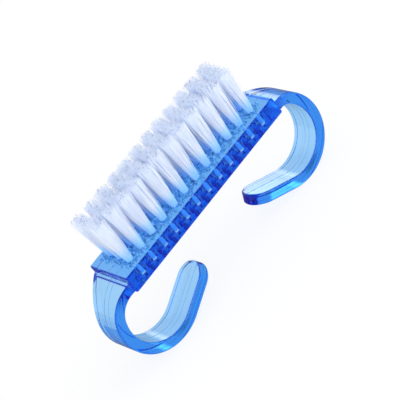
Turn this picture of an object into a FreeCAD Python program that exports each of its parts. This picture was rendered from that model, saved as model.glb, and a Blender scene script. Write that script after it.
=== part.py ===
"""Nail brush: a clear moulded plate with two curled finger hooks and stapled bristle tufts.

The brush stands on its hooks with the bristles up. X runs along the plate, Y across it and
Z up through the bristles. The origin is under the middle of the plate, on the floor line
that both hooks touch. All sizes are in millimetres and all angles in degrees.
"""

import FreeCAD
import Part
import math
import os

# Plate
plate_length = 63.0
plate_width = 17.2
plate_thickness = 5.5
plate_edge_chamfer = 0.3

# Finger hooks: a curl of constant thickness, waisted beside the plate, then a straight tip
hook_thickness = 3.2
hook_bore_radius = 10.4
hook_centre_inset = 3.1
hook_root_step = 0.3
hook_root_embed = 1.0
hook_shoulder = 0.4
hook_strip_width = 9.8
hook_waist_length = 11.0
hook_wrap_angle = 205.4
hook_tip_run = 13.6
hook_edge_chamfer = 0.3
hook_waist_sections = 8

# Tuft field: rows spread over the plate's width, and as many columns as its length takes
tuft_row_names = ("front", "middle", "rear")
column_pitch = 4.72
field_end_margin = 5.5
field_side_margin = 4.2
hole_radius = 1.1
hole_floor = 1.05

# Bristle tufts: a folded bundle that fans out from its hole to a trimmed tip
tuft_clearance = 0.03
tuft_height = 14.8
tuft_tip_gap = 0.3
tuft_end_splay = 0.5
bundle_ridges = 7
bundle_groove_share = 0.86

# Anchor wires: flat staples that hold each fold down and bite into the hole's wall
anchor_thickness = 0.3
anchor_height = 1.5
anchor_bite = 0.2
fold_depth = 0.5

# Worked out from the sizes above
curl_mid_radius = hook_bore_radius + hook_thickness / 2
curl_outer_radius = hook_bore_radius + hook_thickness
curl_centre_x = plate_length / 2 - hook_centre_inset
curl_centre_z = curl_outer_radius
bore_rise_at_end = math.sqrt(hook_bore_radius**2 - hook_centre_inset**2)
hook_root_width = plate_width - 2 * hook_shoulder
plate_bottom = curl_centre_z + bore_rise_at_end - hook_root_step
plate_top = plate_bottom + plate_thickness
hole_bottom = plate_bottom + hole_floor
hole_depth = plate_top - hole_bottom
row_pitch = (plate_width - 2 * field_side_margin) / (len(tuft_row_names) - 1)
tuft_columns = int((plate_length - 2 * field_end_margin) / column_pitch) + 1
field_reach = column_pitch * (tuft_columns - 1) / 2
tuft_root_radius = hole_radius - tuft_clearance
tuft_tip_radius = (min(column_pitch, row_pitch) - tuft_tip_gap) / 2
tuft_top = plate_top + tuft_height
anchor_length = 2 * (hole_radius + anchor_bite)
anchor_bottom = hole_bottom + fold_depth

X_AXIS = FreeCAD.Vector(1, 0, 0)
Y_AXIS = FreeCAD.Vector(0, 1, 0)
Z_AXIS = FreeCAD.Vector(0, 0, 1)
ORIGIN = FreeCAD.Vector(0, 0, 0)
CURL_CENTRE = FreeCAD.Vector(curl_centre_x, 0, curl_centre_z)


def centred_box(length, width, height, centre_x, centre_y, bottom):
    """A box that is centred in X and Y and stands on a given height."""
    corner = FreeCAD.Vector(centre_x - length / 2, centre_y - width / 2, bottom)
    return Part.makeBox(length, width, height, corner)


def plate():
    """The flat block that carries the tufts, with every edge eased."""
    block = centred_box(plate_length, plate_width, plate_thickness, 0, 0, plate_bottom)
    return block.makeChamfer(plate_edge_chamfer, block.Edges)


def turned_about_curl(shape, angle):
    """A copy of a shape drawn at the top of the curl, carried round it by an angle."""
    turned = shape.copy()
    turned.rotate(CURL_CENTRE, Y_AXIS, angle)
    return turned


def hook_section(width):
    """The hook's cross-section at the top of the curl: a rectangle with eased corners."""
    side = width / 2
    flat = side - hook_edge_chamfer
    low = curl_centre_z + hook_bore_radius
    high = low + hook_thickness
    side_low = low + hook_edge_chamfer
    side_high = high - hook_edge_chamfer
    half_outline = [(flat, low), (side, side_low), (side, side_high), (flat, high)]
    outline = half_outline + [(-y, z) for y, z in reversed(half_outline)]
    points = [FreeCAD.Vector(curl_centre_x, y, z) for y, z in outline]
    return Part.makePolygon(points + points[:1])


def waist_width(run):
    """The hook's width at a distance along the curl from the plate's end, and even within the plate."""
    run_left_share = 1 - max(run, 0) / hook_waist_length
    return hook_strip_width + (hook_root_width - hook_strip_width) * run_left_share**2


def hook_waist(root_angle):
    """The stretch beside the plate, which narrows from the root to the strip."""
    span = hook_waist_length + hook_root_embed
    sections = []
    for index in range(hook_waist_sections):
        run = span * index / (hook_waist_sections - 1) - hook_root_embed
        angle = root_angle + math.degrees(run / curl_mid_radius)
        sections.append(turned_about_curl(hook_section(waist_width(run)), angle))
    return Part.makeLoft(sections, True, False)


def hook_strip(start_angle):
    """The curl proper: one section swung round the curl's centre."""
    face = Part.Face(turned_about_curl(hook_section(hook_strip_width), start_angle))
    return face.revolve(CURL_CENTRE, Y_AXIS, hook_wrap_angle - start_angle)


def hook_tip():
    """The straight end, with a full round in plan and eased edges."""
    half_width = hook_strip_width / 2
    straight_end = curl_centre_x + hook_tip_run - half_width

    def point(x, y):
        return FreeCAD.Vector(x, y, curl_centre_z + hook_bore_radius)

    near_start = point(curl_centre_x, -half_width)
    near_end = point(straight_end, -half_width)
    tip = point(straight_end + half_width, 0)
    far_end = point(straight_end, half_width)
    far_start = point(curl_centre_x, half_width)
    sides = [
        Part.LineSegment(near_start, near_end).toShape(),
        Part.Arc(near_end, tip, far_end).toShape(),
        Part.LineSegment(far_end, far_start).toShape(),
    ]
    joint_side = Part.LineSegment(far_start, near_start).toShape()
    blank = Part.Face(Part.Wire(sides + [joint_side])).extrude(Z_AXIS * hook_thickness)
    rims = [edge for edge in blank.Edges if is_rim(edge)]
    return turned_about_curl(blank.makeChamfer(hook_edge_chamfer, rims), hook_wrap_angle)


def is_rim(edge):
    """Whether an edge of the tip's blank lies level and runs along it, away from the curl."""
    box = edge.BoundBox
    return box.ZLength < hook_edge_chamfer < box.XLength


def hook():
    """One finger hook, at the plate's +X end."""
    root_angle = math.degrees(math.asin(hook_centre_inset / curl_mid_radius))
    strip_angle = root_angle + math.degrees(hook_waist_length / curl_mid_radius)
    return hook_waist(root_angle).fuse([hook_strip(strip_angle), hook_tip()])


def tuft_places():
    """Row name, column number and root position of every tuft."""
    row_middle = (len(tuft_row_names) - 1) / 2
    for row, row_name in enumerate(tuft_row_names):
        for column in range(tuft_columns):
            x = column * column_pitch - field_reach
            y = (row - row_middle) * row_pitch
            yield row_name, column + 1, x, y


def anchor_wire(x, y):
    """A flat staple across the bottom of one hole, standing on the fold."""
    return centred_box(anchor_length, anchor_thickness, anchor_height, x, y, anchor_bottom)


def brush_body():
    """The one-piece moulding: plate and both hooks, drilled for the tufts."""
    right = hook()
    left = right.mirror(ORIGIN, X_AXIS)
    blank = plate().fuse([right, left]).removeSplitter()
    cutters = []
    for _, _, x, y in tuft_places():
        cutters.append(Part.makeCylinder(hole_radius, hole_depth, FreeCAD.Vector(x, y, hole_bottom)))
        cutters.append(anchor_wire(x, y))
    return blank.cut(cutters)


def bundle_ring(radius, x, y, z):
    """Corner points of a bundle's outline: ridges on a radius, with shallow grooves between them."""
    ring = []
    for corner in range(2 * bundle_ridges):
        reach = radius * bundle_groove_share if corner % 2 else radius
        turn = math.pi * corner / bundle_ridges
        ring.append(FreeCAD.Vector(x + reach * math.cos(turn), y + reach * math.sin(turn), z))
    return ring


def flat_face(corners):
    """A flat face with the given corners."""
    return Part.Face(Part.makePolygon(corners + corners[:1]))


def faceted_solid(rings):
    """A closed solid of flat facets through rings of matching corners, from the lowest ring up."""
    faces = [flat_face(rings[0]), flat_face(rings[-1])]
    for lower, upper in zip(rings, rings[1:]):
        for corner, before in enumerate(range(-1, len(lower) - 1)):
            faces.append(flat_face([lower[before], lower[corner], upper[corner], upper[before]]))
    return Part.Solid(Part.Shell(faces))


def bristle_tuft(x, y):
    """One folded bundle: straight in its hole, fanned out above the plate, trimmed at the tip."""
    tip_x = x + tuft_end_splay * (x / field_reach) ** 3
    rings = [
        bundle_ring(tuft_root_radius, x, y, hole_bottom),
        bundle_ring(tuft_root_radius, x, y, plate_top),
        bundle_ring(tuft_tip_radius, tip_x, y, tuft_top),
    ]
    return faceted_solid(rings).cut(anchor_wire(x, y))


def write(name, shape):
    """Saves one piece under its own name and prints its check figures."""
    shape.exportStep(os.path.join("parts", name + ".step"))
    print(name, "valid" if shape.isValid() else "INVALID", len(shape.Solids), round(shape.Volume, 2))


def main():
    os.makedirs("parts", exist_ok=True)
    write("brush_body", brush_body())
    anchors = {row_name: [] for row_name in tuft_row_names}
    for row_name, column, x, y in tuft_places():
        write(f"bristle_tuft_{row_name}_{column:02d}", bristle_tuft(x, y))
        anchors[row_name].append(anchor_wire(x, y))
    for row_name, wires in anchors.items():
        write(f"anchor_wires_{row_name}", Part.makeCompound(wires))
    print("plate from", round(plate_bottom, 3), "to", round(plate_top, 3), "tips at", round(tuft_top, 3))


main()
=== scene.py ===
"""The nail brush dressed for the camera: clear blue moulding, drilling crumbs, nylon and steel.

All lengths are in metres, in the part's own frame: X along the plate, Y across it, Z up.
"""

import bmesh
import bpy
import math
import random

from collections import namedtuple
from mathutils import Matrix, Quaternion, Vector

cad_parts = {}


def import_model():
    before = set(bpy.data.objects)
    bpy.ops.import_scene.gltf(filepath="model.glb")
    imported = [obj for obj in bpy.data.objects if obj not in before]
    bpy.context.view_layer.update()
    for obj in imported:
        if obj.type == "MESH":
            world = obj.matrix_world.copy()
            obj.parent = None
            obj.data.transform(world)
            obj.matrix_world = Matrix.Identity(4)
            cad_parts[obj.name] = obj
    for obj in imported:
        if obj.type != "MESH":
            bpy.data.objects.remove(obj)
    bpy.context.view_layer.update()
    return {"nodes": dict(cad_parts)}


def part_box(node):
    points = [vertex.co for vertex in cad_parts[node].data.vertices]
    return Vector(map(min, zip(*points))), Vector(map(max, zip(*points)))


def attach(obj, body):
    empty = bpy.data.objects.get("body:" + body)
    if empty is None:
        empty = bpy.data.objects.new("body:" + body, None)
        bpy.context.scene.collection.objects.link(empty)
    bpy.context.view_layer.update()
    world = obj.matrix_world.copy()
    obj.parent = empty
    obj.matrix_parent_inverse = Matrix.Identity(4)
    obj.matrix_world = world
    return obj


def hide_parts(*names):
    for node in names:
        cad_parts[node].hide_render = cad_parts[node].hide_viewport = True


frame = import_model()

MM = 0.001

# Camera, fitted to the photograph: the point on its axis, where it looks from, and its lens
camera_target = Vector((-0.55, -3.5, 22.8)) * MM
camera_azimuth = -19.95
camera_elevation = 32.7
camera_roll = -40.19
camera_distance = 523.6 * MM
camera_sensor = 36.0
camera_lens = 179.8

# Clear plastic: what it takes from red, green and blue light per metre, and its surface
plastic_absorption = (290, 116, 10)
plastic_ior = 1.5
plastic_edge_radius = 0.5 * MM
edge_samples = 8
plastic_roughness = 0.03
drilled_roughness = 0.05
wall_roughness = 0.05
hole_wall_near = 0.1 * MM
parting_line_half_width = 0.16 * MM
parting_line_height = 0.05 * MM
ripple_size = 5 * MM
ripple_height = 0.012 * MM
ripple_detail = 1
chatter_size = 0.45 * MM
chatter_height = 0.2 * MM
chatter_detail = 2
chatter_reach = 2.3 * MM
soft_edge_angle = 60
shadow_tint = (0.95, 0.96, 0.98, 1)

# Burrs: crumbs of plastic that the drill leaves round each hole
crumbs_per_hole = 100
crumb_least_radius = 0.1 * MM
crumb_most_radius = 0.38 * MM
crumb_reach = 2.1 * MM
crumb_sink_share = 0.35
crumb_roughness_share = 0.4
crumb_absorption = (1500, 420, 50)
crumb_edge_radius = 0

# Anchor wires, drawn flat with rounded edges, and pressed a hair into the plastic
wire_press = 0.004 * MM
wire_edge = 0.06 * MM
wire_edge_segments = 3
wire_edge_profile = 0.5
steel_dark_colour = (0.42, 0.42, 0.41, 1)
steel_light_colour = (0.66, 0.66, 0.64, 1)
steel_roughness = 0.25
steel_roughness_spread = 0.25
steel_mark_size = 0.08 * MM
steel_mark_stretch_share = 0.1
steel_mark_height = 0.006 * MM
steel_mark_detail = 3

# Filaments
strand_radius = 0.075 * MM
strand_sides = 5
strand_spacing = 0.162 * MM
strand_bow = 0.2 * MM
tip_overreach = 0.38 * MM
tip_scatter = 0.2 * MM
tip_unevenness = 0.4 * MM
tip_dome = 0.08 * MM
tip_margin = 0.03 * MM
nylon_light_colour = (0.97, 0.97, 0.98, 1)
nylon_dark_colour = (0.9, 0.91, 0.94, 1)
# Painted shade: dark specks painted among the strands near their tips, standing in for the shade between
# strand ends
nylon_tip_shade_colour = (0.22, 0.24, 0.4, 1)
nylon_shade_speck_size = 0.36 * MM
nylon_shade_speck_detail = 2
nylon_shade_speck_fade = (0.39, 0.46)
nylon_tip_shade_reach = 1 * MM
nylon_roughness = 0.35
nylon_through_share = 0.45
nylon_shadow_tint = (0.26, 0.5, 0.68, 1)
# Painted light: blue light from the plate, painted into the strands' colour near their base
nylon_plate_glow_colour = (0.58, 0.87, 1, 1)
nylon_plate_glow_reach = 6 * MM
tuft_lean = 0.15 * MM
tuft_shortfall = 0.2 * MM
rise_steps = 5
fold_steps = 4
random_seed = 20

# Stage and light
floor_size = 3.0
floor_colour = (0.93, 0.93, 0.93, 1)
floor_white_share = 0.8
floor_mirrored_colour = (0.2, 0.2, 0.2, 1)
world_light = 0.8
white = (1, 1, 1, 1)
mirrored_colour = (0.65, 0.65, 0.65, 1)
ceiling_fade = (0.5, 0.8)
ceiling_colour = (0.05, 0.05, 0.05, 1)
front_fade = (0.1, -0.5)
front_colour = (0.12, 0.12, 0.12, 1)
key_power = 4.6
key_size = 0.8
key_place = Vector((0.75, -0.3, 0.95))
fill_power = 3
fill_size = 0.7
fill_place = Vector((-0.35, -0.75, 0.4))
rim_power = 0.42
rim_size = 0.25
rim_place = Vector((0.4, 0.5, 0.13))
rim_fade = (0.5, 0.1)
light_middle = (0.5, 0.5, 0)
light_bounces = 64
diffuse_bounces = 24

body_node = "brush_body"
tuft_nodes = sorted(name for name in frame["nodes"] if name.startswith("bristle_tuft"))
anchor_nodes = sorted(name for name in frame["nodes"] if name.startswith("anchor_wires"))
Tuft = namedtuple("Tuft", "node_name row_name root root_radius tip tip_radius")
plate_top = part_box(body_node)[1].z
row_names = [name.split("_")[2] for name in anchor_nodes]
scene = bpy.context.scene


def new_material(name):
    """An empty node material with its principled shader and output."""
    material = bpy.data.materials.new(name)
    material.use_nodes = True
    nodes = material.node_tree.nodes
    return material, nodes, material.node_tree.links, nodes["Principled BSDF"], nodes["Material Output"]


def math_node(tree, operation, first, second=None):
    """A sum on two values, each a number or another node's output."""
    node = tree.nodes.new("ShaderNodeMath")
    node.operation = operation
    for index, value in enumerate((first, second)):
        if isinstance(value, bpy.types.NodeSocket):
            tree.links.new(value, node.inputs[index])
        elif value is not None:
            node.inputs[index].default_value = value
    return node.outputs[0]


def place_on_part(tree, kind="Object"):
    """The shaded point's place or direction, as a vector and as X, Y and Z."""
    place = tree.nodes.new("ShaderNodeTexCoord").outputs[kind]
    split = tree.nodes.new("ShaderNodeSeparateXYZ")
    tree.links.new(place, split.inputs[0])
    return place, split.outputs["X"], split.outputs["Y"], split.outputs["Z"]


def off_nearest(tree, value, places):
    """How far a value is from the nearest of some evenly spaced places."""
    pitch = (places[-1] - places[0]) / (len(places) - 1)
    steps = math_node(tree, "DIVIDE", math_node(tree, "SUBTRACT", value, places[0]), pitch)
    whole = math_node(tree, "ROUND", steps)
    held = math_node(tree, "MINIMUM", math_node(tree, "MAXIMUM", whole, 0), len(places) - 1)
    return math_node(tree, "MULTIPLY", math_node(tree, "SUBTRACT", steps, held), pitch)


def off_hole_axis(tree, x, y):
    """How far the shaded point is from the axis of the nearest hole."""
    across = off_nearest(tree, x, hole_columns)
    along = off_nearest(tree, y, hole_rows)
    squares = math_node(tree, "ADD", math_node(tree, "POWER", across, 2), math_node(tree, "POWER", along, 2))
    return math_node(tree, "SQRT", squares)


def faded(tree, value, start, end):
    """A smooth step from 0 where a value is at start to 1 where it is at end."""
    node = tree.nodes.new("ShaderNodeMapRange")
    node.interpolation_type = "SMOOTHSTEP"
    tree.links.new(value, node.inputs["Value"])
    node.inputs["From Min"].default_value = start
    node.inputs["From Max"].default_value = end
    return node.outputs["Result"]


def noise(tree, place, size, detail):
    """Cloudy noise with blotches of a given size, from 0 to 1."""
    node = tree.nodes.new("ShaderNodeTexNoise")
    node.inputs["Scale"].default_value = 1 / size
    node.inputs["Detail"].default_value = detail
    tree.links.new(place, node.inputs["Vector"])
    return node.outputs["Fac"]


def bump(tree, height, shader, facing=None):
    """Turns a height in metres into fine relief, on the surface's own facing or a given one."""
    node = tree.nodes.new("ShaderNodeBump")
    node.inputs["Strength"].default_value = 1
    node.inputs["Distance"].default_value = 1
    tree.links.new(height, node.inputs["Height"])
    if facing:
        tree.links.new(facing, node.inputs["Normal"])
    tree.links.new(node.outputs["Normal"], shader.inputs["Normal"])


def rounded_edges(tree, radius):
    """The surface's facing, turned near its edges as if they had a small radius."""
    node = tree.nodes.new("ShaderNodeBevel")
    node.samples = edge_samples
    node.inputs["Radius"].default_value = radius
    return node.outputs["Normal"]


def any_ray(tree, *kinds):
    """1 for rays of the given kinds, and 0 for the rest."""
    path = tree.nodes.new("ShaderNodeLightPath")
    found = path.outputs[kinds[0]]
    for kind in kinds[1:]:
        found = math_node(tree, "MAXIMUM", found, path.outputs[kind])
    return found


def without(tree, kept, left_out):
    """1 where the first value is 1 and the second is 0, and 0 elsewhere."""
    return math_node(tree, "MAXIMUM", math_node(tree, "SUBTRACT", kept, left_out), 0)


def mixed_colour(tree, share, first, second):
    """A mix of two colours, each a colour or another node's output."""
    node = tree.nodes.new("ShaderNodeMix")
    node.data_type = "RGBA"
    tree.links.new(share, node.inputs[0])
    for value, socket in zip((first, second), [s for s in node.inputs if s.type == "RGBA"]):
        if isinstance(value, bpy.types.NodeSocket):
            tree.links.new(value, socket)
        else:
            socket.default_value = value
    return next(socket for socket in node.outputs if socket.type == "RGBA")


def mixed_shader(tree, share, first, second):
    """A mix of two shaders, by a number or another node's output."""
    mix = tree.nodes.new("ShaderNodeMixShader")
    if isinstance(share, bpy.types.NodeSocket):
        tree.links.new(share, mix.inputs["Fac"])
    else:
        mix.inputs["Fac"].default_value = share
    tree.links.new(first, mix.inputs[1])
    tree.links.new(second, mix.inputs[2])
    return mix.outputs[0]


def clear_plastic(name, absorption, edge_radius):
    """Tinted clear plastic: polished and faintly rippled, with a parting line along the middle.

    Round the drilled holes it is chattered and rougher. Its colour comes from the depth that
    light passes through. Light on its way to what lies behind goes straight through, so that
    its shadow is tinted too.
    """
    material, nodes, links, shader, output = new_material(name)
    tree = material.node_tree
    shader.inputs["Base Color"].default_value = white
    shader.inputs["IOR"].default_value = plastic_ior
    shader.inputs["Transmission Weight"].default_value = 1

    place, x, y, z = place_on_part(tree)
    off_axis = off_hole_axis(tree, x, y)
    in_plate = faded(tree, z, hole_bottom - hole_wall_near, hole_bottom)
    drilled = faded(tree, off_axis, hole_radius + chatter_reach, hole_radius)
    drilled = math_node(tree, "MULTIPLY", drilled, in_plate)
    in_hole = faded(tree, off_axis, hole_radius + hole_wall_near, hole_radius + hole_wall_near / 2)
    in_hole = math_node(tree, "MULTIPLY", in_hole, in_plate)
    rough = math_node(tree, "MULTIPLY", drilled, drilled_roughness - plastic_roughness)
    rough = math_node(tree, "ADD", rough, plastic_roughness)
    rougher = math_node(tree, "MULTIPLY", in_hole, wall_roughness)
    links.new(math_node(tree, "MAXIMUM", rough, rougher), shader.inputs["Roughness"])
    chatter = math_node(tree, "MULTIPLY", noise(tree, place, chatter_size, chatter_detail), chatter_height)
    chatter = math_node(tree, "MULTIPLY", chatter, math_node(tree, "SUBTRACT", drilled, in_hole))
    off_middle = math_node(tree, "ABSOLUTE", y)
    line = faded(tree, off_middle, parting_line_half_width, 0)
    line_height = math_node(tree, "MULTIPLY", line, parting_line_height)
    ripple = math_node(tree, "MULTIPLY", noise(tree, place, ripple_size, ripple_detail), ripple_height)
    relief = math_node(tree, "ADD", math_node(tree, "ADD", line_height, ripple), chatter)
    bump(tree, relief, shader, rounded_edges(tree, edge_radius))

    passed = nodes.new("ShaderNodeBsdfTransparent")
    passed.inputs["Color"].default_value = shadow_tint
    straight = any_ray(tree, "Is Shadow Ray", "Is Diffuse Ray")
    surface = mixed_shader(tree, straight, shader.outputs[0], passed.outputs[0])
    links.new(surface, output.inputs["Surface"])

    depth = nodes.new("ShaderNodeVolumeAbsorption")
    density = max(absorption)
    passed_on = [1 - taken / density for taken in absorption]
    depth.inputs["Color"].default_value = (*passed_on, 1)
    depth.inputs["Density"].default_value = density
    links.new(depth.outputs["Volume"], output.inputs["Volume"])
    return material


def nylon():
    """White nylon filament: half see-through, each strand a little different, with painted blue light from
    the plate near its base and painted shade in dark specks among its tips.
    """
    material, nodes, links, shader, output = new_material("white_nylon")
    tree = material.node_tree
    strand = nodes.new("ShaderNodeNewGeometry").outputs["Random Per Island"]
    tone = nodes.new("ShaderNodeValToRGB")
    tone.color_ramp.elements[0].color = nylon_dark_colour
    tone.color_ramp.elements[1].color = nylon_light_colour
    links.new(strand, tone.inputs["Fac"])
    place, _, _, z = place_on_part(tree)
    near_tip = faded(tree, z, tip_height - nylon_tip_shade_reach, tip_height)
    plate_glow_share = faded(tree, z, plate_top + nylon_plate_glow_reach, plate_top)
    # Painted shade: near the tips, dark noise specks stand in for the shade between strand ends
    shade_specks = faded(tree, noise(tree, place, nylon_shade_speck_size, nylon_shade_speck_detail), *nylon_shade_speck_fade)
    tip_shaded_colour = mixed_colour(tree, shade_specks, nylon_tip_shade_colour, nylon_light_colour)
    colour = mixed_colour(tree, near_tip, tone.outputs["Color"], tip_shaded_colour)
    # Painted light: near the plate the strands are tinted blue, standing in for light that comes up through
    # the blue plate
    colour = mixed_colour(tree, plate_glow_share, colour, nylon_plate_glow_colour)
    links.new(colour, shader.inputs["Base Color"])
    shader.inputs["Roughness"].default_value = nylon_roughness
    through = nodes.new("ShaderNodeBsdfTranslucent")
    links.new(colour, through.inputs["Color"])
    scattered = mixed_shader(tree, nylon_through_share, shader.outputs[0], through.outputs[0])
    passed = nodes.new("ShaderNodeBsdfTransparent")
    passed.inputs["Color"].default_value = nylon_shadow_tint
    shaded = any_ray(tree, "Is Shadow Ray")
    links.new(mixed_shader(tree, shaded, scattered, passed.outputs[0]), output.inputs["Surface"])
    return material


def steel():
    """Flat wire with fine drawing marks along it."""
    material, nodes, links, shader, _ = new_material("drawn_steel")
    tree = material.node_tree
    shader.inputs["Metallic"].default_value = 1
    place, *_ = place_on_part(tree)
    stretched = nodes.new("ShaderNodeMapping")
    stretched.inputs["Scale"].default_value = (steel_mark_stretch_share, 1, 1)
    links.new(place, stretched.inputs["Vector"])
    marks = noise(tree, stretched.outputs["Vector"], steel_mark_size, steel_mark_detail)
    links.new(mixed_colour(tree, marks, steel_dark_colour, steel_light_colour), shader.inputs["Base Color"])
    rough = math_node(tree, "MULTIPLY", marks, steel_roughness_spread)
    links.new(math_node(tree, "ADD", rough, steel_roughness), shader.inputs["Roughness"])
    bump(tree, math_node(tree, "MULTIPLY", marks, steel_mark_height), shader)
    return material


def paint(node_name, material):
    """Gives a CAD node a material."""
    mesh = frame["nodes"][node_name].data
    mesh.materials.clear()
    mesh.materials.append(material)


def ring_centre_and_radius(points):
    """Middle and reach of a ring of points in plan."""
    centre = sum(points, Vector()) / len(points)
    return centre, max((point - centre).xy.length for point in points)


def tuft_measures(node_name):
    """Name, row, root centre, root radius, tip centre and tip radius of a tuft's CAD solid."""
    points = [vertex.co.copy() for vertex in frame["nodes"][node_name].data.vertices]
    low = min(point.z for point in points)
    high = max(point.z for point in points)
    near = strand_radius
    root, root_radius = ring_centre_and_radius([p for p in points if p.z < low + near])
    tip, tip_radius = ring_centre_and_radius([p for p in points if p.z > high - near])
    row_name = node_name.split("_")[2]
    return Tuft(node_name, row_name, root, root_radius, tip, tip_radius)


def packed_places(radius, slit):
    """Strand centres in one half of a hole, beside the anchor, in hexagonal packing."""
    reach = radius - strand_radius
    row_step = strand_spacing * math.sqrt(0.75)
    places = []
    row = 0
    y = slit + strand_radius
    while y < reach:
        half_span = math.sqrt(reach**2 - y**2)
        offset = strand_spacing / 2 if row % 2 else 0
        count = int(half_span / strand_spacing) + 1
        for index in range(-count, count + 1):
            x = index * strand_spacing + offset
            if abs(x) <= half_span:
                places.append(Vector((x, y, 0)))
        y += row_step
        row += 1
    return places


def add_piece(name, mesh, material, slot, *nodes):
    """Puts a mesh on the brush as a piece of its own, in place of CAD nodes if it has any."""
    mesh.materials.append(material)
    piece = bpy.data.objects.new(name, mesh)
    scene.collection.objects.link(piece)
    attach(piece, "root")
    if nodes:
        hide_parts(*nodes)


def mesh_of(form, name):
    """A mesh of a finished form."""
    mesh = bpy.data.meshes.new(name)
    form.to_mesh(mesh)
    form.free()
    return mesh


def shade(mesh):
    """Makes a mesh shade smooth, apart from its sharp corners."""
    mesh.shade_smooth()
    mesh.set_sharp_from_angle(angle=math.radians(soft_edge_angle))


def hole_burrs(row_name, material, draw):
    """Crumbs round each hole of a row, thickest at its edge and sunk into the plate's top."""
    form = bmesh.new()
    for tuft in tufts[row_name]:
        for _ in range(crumbs_per_hole):
            radius = draw.uniform(crumb_least_radius, crumb_most_radius)
            reach = hole_radius + radius + crumb_reach * draw.random() ** 2
            turn = draw.uniform(0, 2 * math.pi)
            place = Vector((reach * math.cos(turn), reach * math.sin(turn), 0)) + tuft.root
            place.z = plate_top + radius * (1 - 2 * crumb_sink_share)
            crumb = bmesh.ops.create_icosphere(
                form, subdivisions=1, radius=radius, matrix=Matrix.Translation(place)
            )
            for corner in crumb["verts"]:
                share = 1 + draw.uniform(-crumb_roughness_share, crumb_roughness_share)
                corner.co = place + (corner.co - place) * share
    name = "hole_burrs_" + row_name
    add_piece(name, mesh_of(form, name), material, "body_plastic")


def anchor_wires(row_name, material):
    """The flat staples of a row, with rounded edges."""
    node_name = "anchor_wires_" + row_name
    low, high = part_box(node_name)
    middles = [tuft.root for tuft in tufts[row_name]]
    size = high - low
    size.x -= middles[-1].x - middles[0].x
    size += Vector((1, 1, 1)) * 2 * wire_press
    form = bmesh.new()
    for middle in middles:
        place = Matrix.Translation((middle.x, middle.y, (low.z + high.z) / 2))
        bmesh.ops.create_cube(form, size=1, matrix=place @ Matrix.Diagonal((*size, 1)))
    bmesh.ops.bevel(
        form,
        geom=form.edges[:],
        offset=wire_edge,
        offset_type="OFFSET",
        segments=wire_edge_segments,
        profile=wire_edge_profile,
        affect="EDGES",
    )
    name = node_name + "_drawn"
    mesh = mesh_of(form, name)
    shade(mesh)
    add_piece(name, mesh, material, "anchor_metal", node_name)


def tube_mesh(name, paths):
    """A mesh of closed thin tubes, one along each path."""
    vertices = []
    faces = []
    for path in paths:
        start = len(vertices)
        for index, point in enumerate(path):
            ahead = path[min(index + 1, len(path) - 1)]
            behind = path[max(index - 1, 0)]
            along = (ahead - behind).normalized()
            across = along.cross(Vector((1, 0, 0))).normalized()
            other = along.cross(across)
            for side in range(strand_sides):
                turn = 2 * math.pi * side / strand_sides
                vertices.append(point + (across * math.cos(turn) + other * math.sin(turn)) * strand_radius)
        for ring in range(len(path) - 1):
            for side in range(strand_sides):
                here = start + ring * strand_sides + side
                beside = start + ring * strand_sides + (side + 1) % strand_sides
                faces.append((here, beside, beside + strand_sides, here + strand_sides))
        last = start + (len(path) - 1) * strand_sides
        faces.append(tuple(start + side for side in reversed(range(strand_sides))))
        faces.append(tuple(last + side for side in range(strand_sides)))
    mesh = bpy.data.meshes.new(name)
    mesh.from_pydata(vertices, [], faces)
    shade(mesh)
    return mesh


def sideways(draw, size):
    """A random step in plan."""
    return Vector((draw.gauss(0, 1), draw.gauss(0, 1), 0)) * size


def rise(place, tuft, tip, draw):
    """Points of one strand from the plate's top to its tip, fanned out and a little bowed."""
    spread = (tuft.tip_radius + tip_overreach) / tuft.root_radius
    end = tip + place * spread + sideways(draw, tip_scatter)
    edge_share = place.length / tuft.root_radius
    end.z -= draw.random() ** 2 * tip_unevenness + tip_dome * edge_share**2
    start = Vector((tuft.root.x, tuft.root.y, plate_top)) + place
    bow = sideways(draw, strand_bow)
    points = []
    for step in range(rise_steps + 1):
        share = step / rise_steps
        points.append(start.lerp(end, share) + bow * math.sin(math.pi * share))
    return points


def folded_strand(place, tuft, tip, anchor_low, draw):
    """One filament: down one side of the anchor wire, under it and up the other side."""
    other = Vector((place.x, -place.y, 0))
    first = rise(place, tuft, tip, draw)
    second = rise(other, tuft, tip, draw)
    fold_centre = Vector((tuft.root.x + place.x, tuft.root.y, anchor_low))
    depth_room = anchor_low - tuft.root.z - strand_radius
    depth = min(place.y, depth_room * place.y / (tuft.root_radius - strand_radius))
    fold = []
    for step in range(fold_steps + 1):
        turn = math.pi * step / fold_steps
        fold.append(fold_centre + Vector((0, math.cos(turn) * place.y, -math.sin(turn) * depth)))
    return list(reversed(first)) + fold + second


def bristle_tuft(tuft, material, draw):
    """A tuft of folded filaments in place of its CAD solid."""
    tip = tuft.tip + sideways(draw, tuft_lean)
    tip.z -= tip_margin + draw.random() * tuft_shortfall
    anchor_low, anchor_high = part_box("anchor_wires_" + tuft.row_name)
    slit = (anchor_high.y - anchor_low.y) / 2
    places = packed_places(tuft.root_radius, slit)
    paths = [folded_strand(place, tuft, tip, anchor_low.z, draw) for place in places]
    name = tuft.node_name + "_filaments"
    add_piece(name, tube_mesh(name, paths), material, "bristle_nylon", tuft.node_name)


def looked_at(tree):
    """1 for rays that show a place to the eye, straight or by way of gloss and clear plastic."""
    seen = any_ray(tree, "Is Camera Ray", "Is Glossy Ray", "Is Transmission Ray")
    return without(tree, seen, any_ray(tree, "Is Diffuse Ray"))


def mirrored(tree):
    """1 for rays that come off a gloss, and 0 for those that come through clear plastic."""
    return without(tree, any_ray(tree, "Is Glossy Ray"), any_ray(tree, "Is Transmission Ray"))


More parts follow.
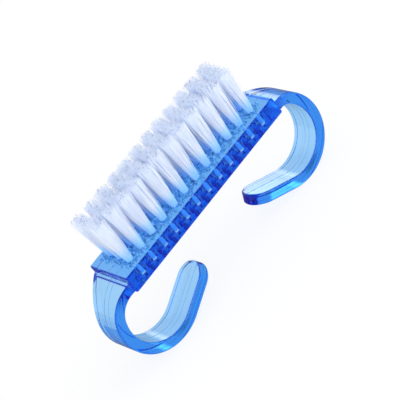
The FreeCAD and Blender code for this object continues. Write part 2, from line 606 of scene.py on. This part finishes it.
def world():
    """Plain white where the surroundings are seen, softer where they only light the brush.

    The brush shows a white backdrop too, under a dim ceiling and behind a dim front, and its
    gloss mirrors dim surroundings.
    """
    scene.world = scene.world or bpy.data.worlds.new("World")
    scene.world.use_nodes = True
    tree = scene.world.node_tree
    tree.nodes.clear()
    lit = tree.nodes.new("ShaderNodeBackground")
    lit.inputs["Color"].default_value = white
    lit.inputs["Strength"].default_value = world_light
    _, _, y, z = place_on_part(tree, "Generated")
    by_way_of = math_node(tree, "SUBTRACT", 1, any_ray(tree, "Is Camera Ray"))
    overhead = math_node(tree, "MULTIPLY", faded(tree, z, *ceiling_fade), by_way_of)
    in_front = math_node(tree, "MULTIPLY", faded(tree, y, *front_fade), any_ray(tree, "Is Glossy Ray"))
    colour = mixed_colour(tree, mirrored(tree), white, mirrored_colour)
    colour = mixed_colour(tree, in_front, colour, front_colour)
    colour = mixed_colour(tree, overhead, colour, ceiling_colour)
    seen = tree.nodes.new("ShaderNodeBackground")
    tree.links.new(colour, seen.inputs["Color"])
    seen.inputs["Strength"].default_value = 1
    output = tree.nodes.new("ShaderNodeOutputWorld")
    surface = mixed_shader(tree, looked_at(tree), lit.outputs[0], seen.outputs[0])
    tree.links.new(surface, output.inputs["Surface"])


def area_light(name, place, size, power):
    """A soft square light that faces the brush."""
    data = bpy.data.lights.new(name, "AREA")
    data.shape = "SQUARE"
    data.size = size
    data.energy = power
    lamp = bpy.data.objects.new(name, data)
    lamp.location = place
    lamp.rotation_mode = "QUATERNION"
    lamp.rotation_quaternion = (camera_target - place).to_track_quat("-Z", "Y")
    scene.collection.objects.link(lamp)
    return data


def soften_rim(light):
    """Fades a light out from its middle to its edge, so that its image in the plastic has no border."""
    light.use_nodes = True
    tree = light.node_tree
    off_middle = tree.nodes.new("ShaderNodeVectorMath")
    off_middle.operation = "DISTANCE"
    place_on_light = tree.nodes.new("ShaderNodeNewGeometry").outputs["Parametric"]
    tree.links.new(place_on_light, off_middle.inputs[0])
    off_middle.inputs[1].default_value = light_middle
    strength = faded(tree, off_middle.outputs["Value"], *rim_fade)
    tree.links.new(strength, tree.nodes["Emission"].inputs["Strength"])


def floor():
    """A wide pale floor with the brush's shadow, near white where it is seen, and dim in mirrored gloss."""
    half = floor_size / 2
    corners = [(-half, -half, 0), (half, -half, 0), (half, half, 0), (-half, half, 0)]
    mesh = bpy.data.meshes.new("floor")
    mesh.from_pydata(corners, [], [(0, 1, 2, 3)])
    piece = bpy.data.objects.new("floor", mesh)
    material, nodes, links, shader, output = new_material("floor_white")
    tree = material.node_tree
    gloss = mirrored(tree)
    colour = mixed_colour(tree, gloss, floor_colour, floor_mirrored_colour)
    links.new(colour, shader.inputs["Base Color"])
    shader.inputs["Roughness"].default_value = 1
    shader.inputs["Specular IOR Level"].default_value = 0
    bright = nodes.new("ShaderNodeEmission")
    bright.inputs["Color"].default_value = white
    bright.inputs["Strength"].default_value = 1
    share = math_node(tree, "MULTIPLY", without(tree, looked_at(tree), gloss), floor_white_share)
    links.new(mixed_shader(tree, share, shader.outputs[0], bright.outputs[0]), output.inputs["Surface"])
    mesh.materials.append(material)
    scene.collection.objects.link(piece)


def camera():
    """A camera with the photograph's place, turn and lens."""
    azimuth = math.radians(camera_azimuth)
    elevation = math.radians(camera_elevation)
    level = math.cos(elevation)
    back = Vector((math.sin(azimuth) * level, -math.cos(azimuth) * level, math.sin(elevation)))
    data = bpy.data.cameras.new("camera")
    data.sensor_width = camera_sensor
    data.lens = camera_lens
    eye = bpy.data.objects.new("camera", data)
    eye.location = camera_target + back * camera_distance
    eye.rotation_mode = "QUATERNION"
    roll = Quaternion((0, 0, 1), math.radians(camera_roll))
    eye.rotation_quaternion = (-back).to_track_quat("-Z", "Y") @ roll
    scene.collection.objects.link(eye)
    scene.camera = eye


tufts = {row_name: [] for row_name in row_names}
for tuft_node in tuft_nodes:
    measured = tuft_measures(tuft_node)
    tufts[measured.row_name].append(measured)
hole_columns = [tuft.root.x for tuft in tufts[row_names[0]]]
hole_rows = sorted(tufts[row_name][0].root.y for row_name in row_names)
hole_radius = tufts[row_names[0]][0].root_radius
hole_bottom = tufts[row_names[0]][0].root.z
tip_height = tufts[row_names[0]][0].tip.z

plastic_material = clear_plastic("clear_blue_plastic", plastic_absorption, plastic_edge_radius)
crumb_material = clear_plastic("crumbled_blue_plastic", crumb_absorption, crumb_edge_radius)
nylon_material = nylon()
steel_material = steel()
paint(body_node, plastic_material)
dice = random.Random(random_seed)
for row_name in row_names:
    hole_burrs(row_name, crumb_material, dice)
    anchor_wires(row_name, steel_material)
    for tuft in tufts[row_name]:
        bristle_tuft(tuft, nylon_material, dice)

world()
floor()
area_light("key_light", key_place, key_size, key_power)
area_light("fill_light", fill_place, fill_size, fill_power)
soften_rim(area_light("rim_light", rim_place, rim_size, rim_power))
camera()
scene.cycles.max_bounces = light_bounces
scene.cycles.transmission_bounces = light_bounces
scene.cycles.glossy_bounces = light_bounces
scene.cycles.transparent_max_bounces = light_bounces
scene.cycles.diffuse_bounces = diffuse_bounces
scene.view_settings.view_transform = "Standard"
